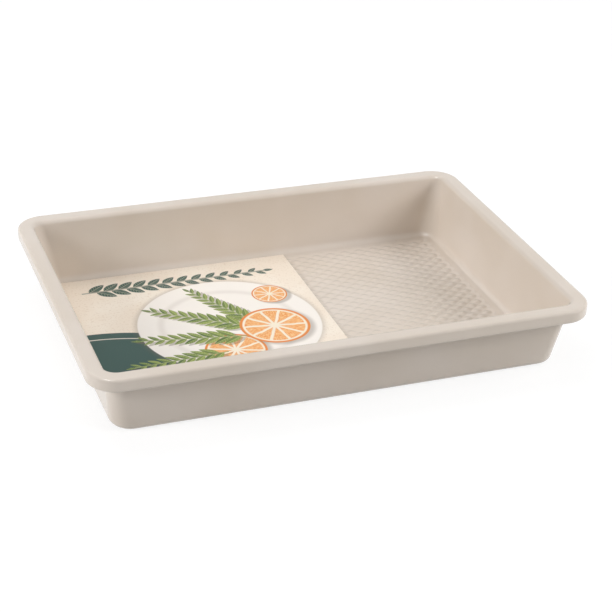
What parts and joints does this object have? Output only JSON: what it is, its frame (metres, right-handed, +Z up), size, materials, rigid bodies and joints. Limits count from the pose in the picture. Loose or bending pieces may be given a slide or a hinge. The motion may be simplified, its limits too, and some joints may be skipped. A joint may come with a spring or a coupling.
{
  "type": "roasting pan",
  "caption": "Rectangular non-stick roasting pan with leaning walls, a flat rolled rim and a dimpled floor, holding a loose printed card that lifts out.",
  "frame": {"origin": "middle of the underside of the base, on the surface that the pan stands on", "axes": "+X along the long side of the rim, away from the end where the card lies; +Y along the short side; +Z up out of the pan"},
  "size_m": [0.3, 0.212, 0.0422],
  "materials": {
    "coated_steel": "satin warm cream non-stick coat on pressed steel",
    "printed_card": "speckled cream card with a flat print in dark green, leaf greens and orange"
  },
  "bodies": {
    "pan": {"pan": "coated_steel"},
    "card": {"label_card": "printed_card"}
  },
  "joints": [
    {"name": "card_lift", "type": "slide", "parent": "pan", "child": "card", "axis": [0, 0, 1], "range_m": [0, 0.06]}
  ]
}
